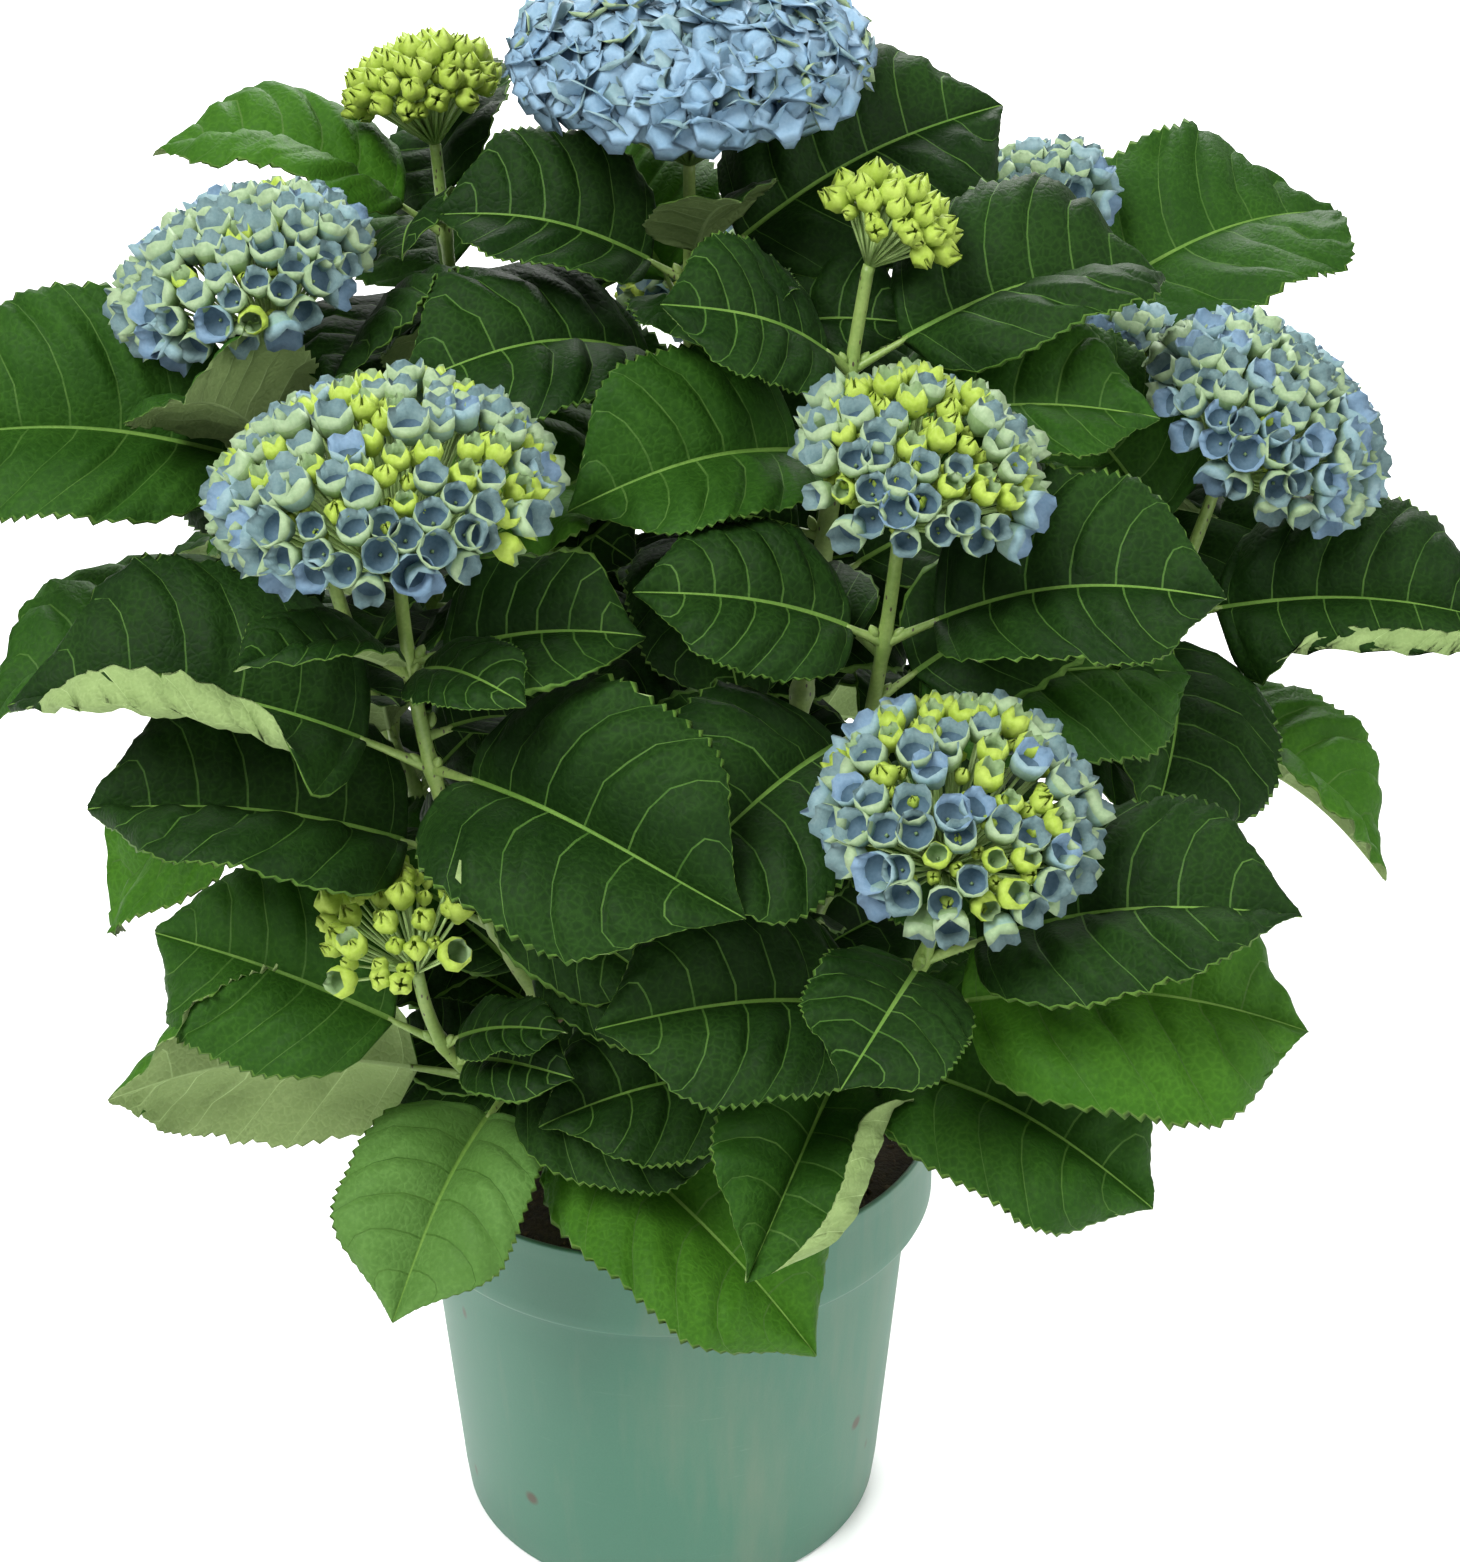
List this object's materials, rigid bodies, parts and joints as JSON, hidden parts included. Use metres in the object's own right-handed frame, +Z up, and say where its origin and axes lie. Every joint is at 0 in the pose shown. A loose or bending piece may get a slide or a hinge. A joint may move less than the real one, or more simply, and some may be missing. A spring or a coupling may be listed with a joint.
{
  "type": "potted hydrangea shrub",
  "caption": "Leafy mophead hydrangea with round blue and lime flower heads, growing in an upright green plastic nursery pot.",
  "frame": {"origin": "middle of the pot's flat underside", "axes": "+Z up along the pot's axis, -Y towards the side with the lowest flower heads, +X to the right of that side"},
  "size_m": [0.6001, 0.5722, 0.6743],
  "materials": {
    "pot_plastic": "satin moulded plastic, lightly scuffed",
    "potting_mix": "damp crumbly bark and peat",
    "woody_stem": "rough brown bark",
    "green_stem": "smooth green stem with dark specks",
    "foliage": "semi-gloss leaf, matt underside",
    "blossom": "matt thin petal"
  },
  "bodies": {
    "root": {"pot": "pot_plastic", "potting_mix": "potting_mix", "stem_stool": "woody_stem", "cane_crown": "green_stem", "shoot_crown": "foliage", "cane_top_left": "green_stem", "shoot_top_left": "foliage", "cane_left": "green_stem", "shoot_left": "foliage", "cane_front_left": "green_stem", "shoot_front_left": "foliage", "cane_front_right": "green_stem", "shoot_front_right": "foliage", "cane_right": "green_stem", "shoot_right": "foliage", "cane_right_back": "green_stem", "shoot_right_back": "foliage", "cane_low_right": "green_stem", "shoot_low_right": "foliage", "cane_low_left": "green_stem", "shoot_low_left": "foliage", "cane_inner_right": "green_stem", "shoot_inner_right": "foliage", "cane_back_right": "green_stem", "shoot_back_right": "foliage", "cane_back": "green_stem", "shoot_back": "foliage", "cane_back_left": "green_stem", "shoot_back_left": "foliage", "cane_back_low": "green_stem", "shoot_back_low": "foliage"}
  },
  "joints": []
}
